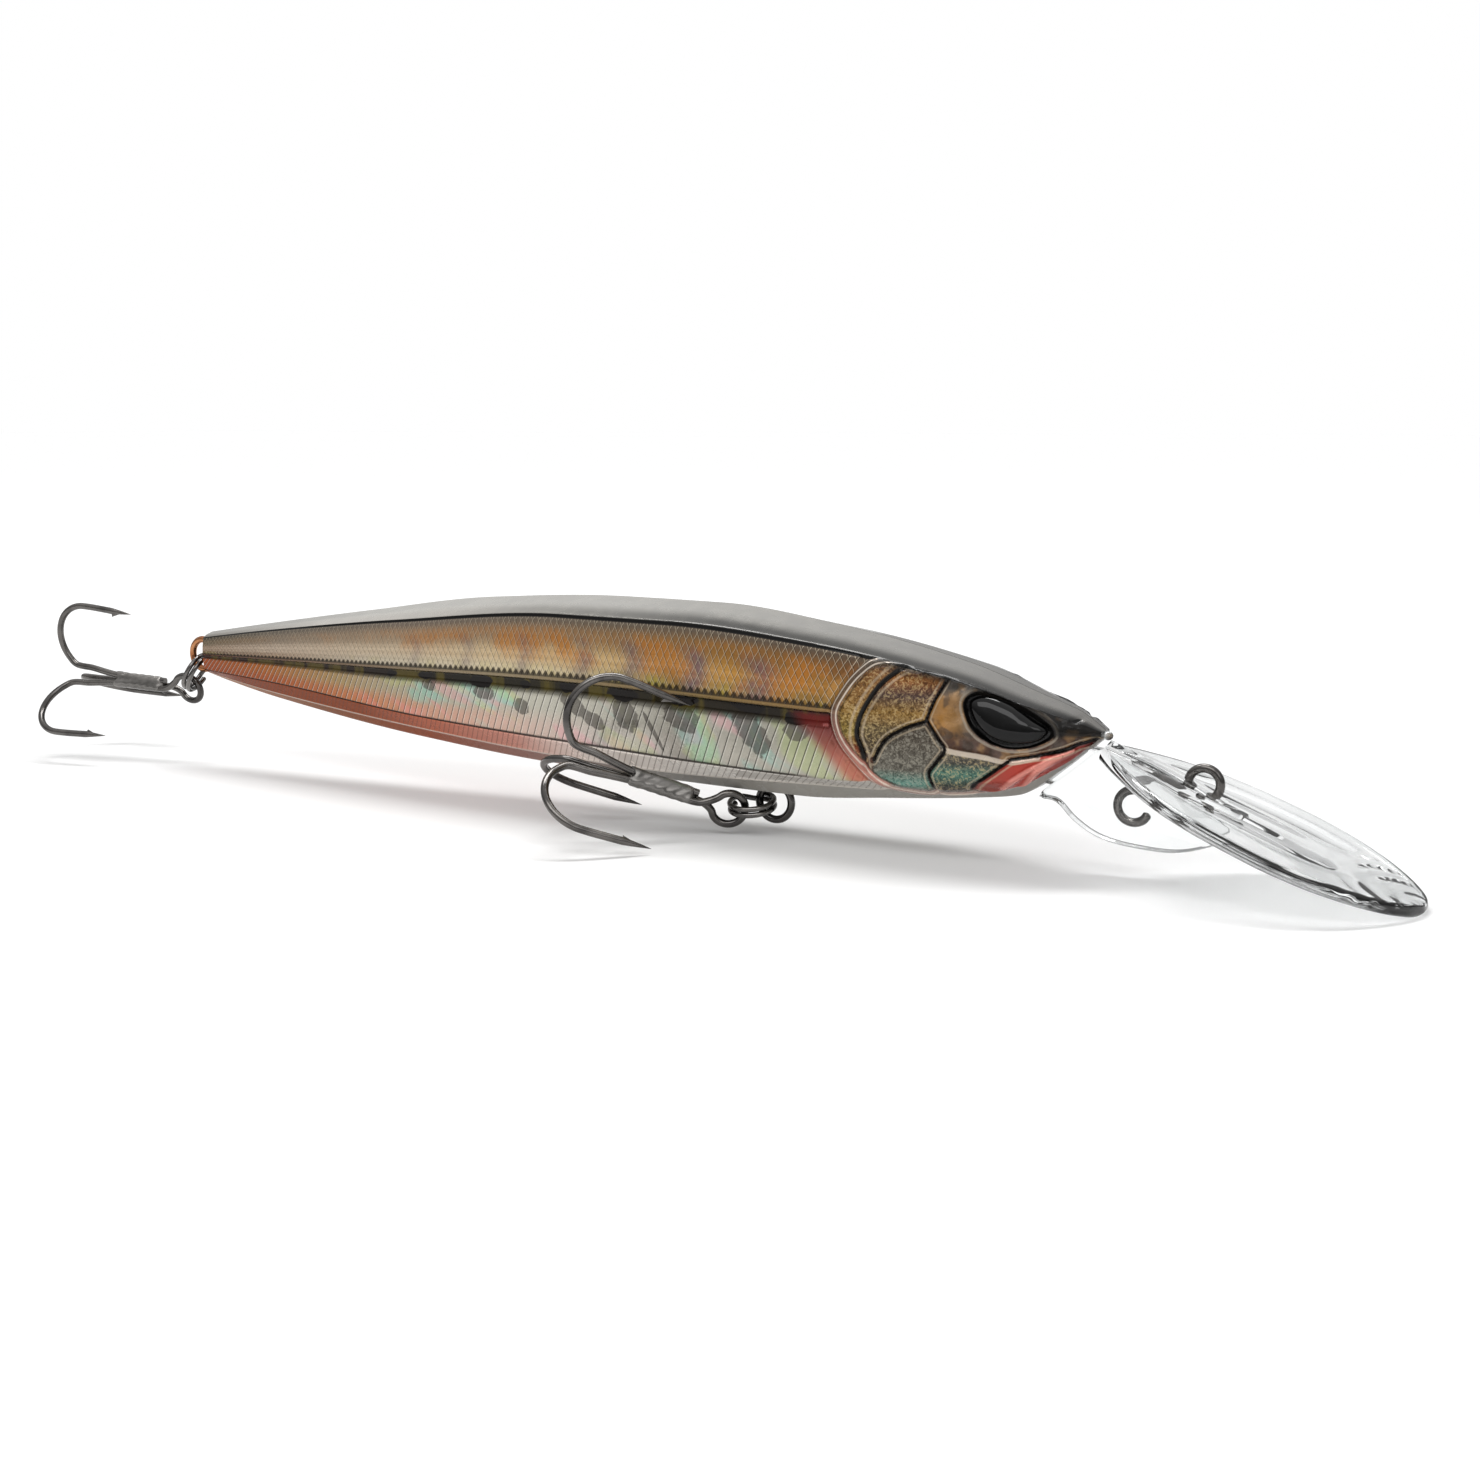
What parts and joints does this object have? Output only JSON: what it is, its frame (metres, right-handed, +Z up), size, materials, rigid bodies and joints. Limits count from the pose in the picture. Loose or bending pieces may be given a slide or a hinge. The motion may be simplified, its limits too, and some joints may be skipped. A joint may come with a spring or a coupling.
{
  "type": "crankbait lure",
  "caption": "Long minnow-shaped hard fishing lure with a deep diving lip, line tie, weight transfer balls and swinging treble hooks on split rings.",
  "frame": {"origin": "centre of the whole lure's footprint, on the surface it lies on", "axes": "+X from the tail to the nose and lip, +Z up, +Y to the lure's left side"},
  "size_m": [0.1752, 0.0318, 0.0248],
  "materials": {
    "body_plastic": "glossy translucent moulded plastic, painted in back, flank and belly bands",
    "flank_foil": "embossed holographic foil",
    "gill_foil": "hammered gold foil",
    "eye_foil": "dark foil",
    "eye_dome": "polished black dome",
    "clear_plastic": "clear polished plastic",
    "black_nickel": "black nickel plated wire",
    "ring_steel": "dark stainless steel",
    "cap_plastic": "moulded plastic",
    "magnet_metal": "nickel plated magnet",
    "ball_metal": "polished metal ball",
    "ballast_metal": "dull cast weight"
  },
  "bodies": {
    "lure_body": {"body_shell_left": "body_plastic", "body_shell_right": "body_plastic", "flank_foil_left": "flank_foil", "flank_foil_right": "flank_foil", "gill_foil_left": "gill_foil", "gill_foil_right": "gill_foil", "eye_foil_left": "eye_foil", "eye_foil_right": "eye_foil", "eye_dome_left": "eye_dome", "eye_dome_right": "eye_dome", "diving_lip": "clear_plastic", "line_tie_wire": "black_nickel", "weight_tube": "clear_plastic", "weight_tube_cap_rear": "cap_plastic", "weight_tube_cap_front": "cap_plastic", "holding_magnet": "magnet_metal", "belly_ballast": "ballast_metal", "belly_hook_hanger": "black_nickel", "tail_hook_hanger": "black_nickel"},
    "front_ball": {"weight_ball_front": "ball_metal"},
    "middle_ball": {"weight_ball_middle": "ball_metal"},
    "rear_ball": {"weight_ball_rear": "ball_metal"},
    "belly_ring": {"belly_split_ring": "ring_steel"},
    "belly_treble": {"belly_treble_double_hook": "black_nickel", "belly_treble_single_hook": "black_nickel"},
    "tail_ring": {"tail_split_ring": "ring_steel"},
    "tail_treble": {"tail_treble_double_hook": "black_nickel", "tail_treble_single_hook": "black_nickel"}
  },
  "joints": [
    {"name": "weight_transfer", "type": "slide", "parent": "lure_body", "child": "front_ball", "axis": [-1, 0, 0], "range_m": [0, 0.028]},
    {"name": "middle_ball_slide", "type": "slide", "parent": "lure_body", "child": "middle_ball", "axis": [-1, 0, 0], "range_m": [0, 0.028]},
    {"name": "rear_ball_slide", "type": "slide", "parent": "lure_body", "child": "rear_ball", "axis": [-1, 0, 0], "range_m": [0, 0.028]},
    {"name": "belly_ring_swing", "type": "hinge", "parent": "lure_body", "child": "belly_ring", "pos_m": [0.0204, 0.00537, 0.00354], "axis": [0, -1, 0], "range_deg": [0, 90]},
    {"name": "belly_treble_swing", "type": "hinge", "parent": "belly_ring", "child": "belly_treble", "pos_m": [0.01723, 0.00199, 0.00282], "axis": [0.5898, -0.8034, -0.0819], "range_deg": [0, 50]},
    {"name": "tail_ring_swing", "type": "hinge", "parent": "lure_body", "child": "tail_ring", "pos_m": [-0.0639, 0.00537, 0.01389], "axis": [0, -1, 0], "range_deg": [-60, 30]},
    {"name": "tail_treble_swing", "type": "hinge", "parent": "tail_ring", "child": "tail_treble", "pos_m": [-0.0663, 0.00537, 0.00973], "axis": [0.1352, -0.9723, -0.1906], "range_deg": [-20, 60]}
  ],
  "couplings": [
    {"joint": "middle_ball_slide", "follows": "weight_transfer", "ratio": 1},
    {"joint": "rear_ball_slide", "follows": "weight_transfer", "ratio": 1}
  ]
}
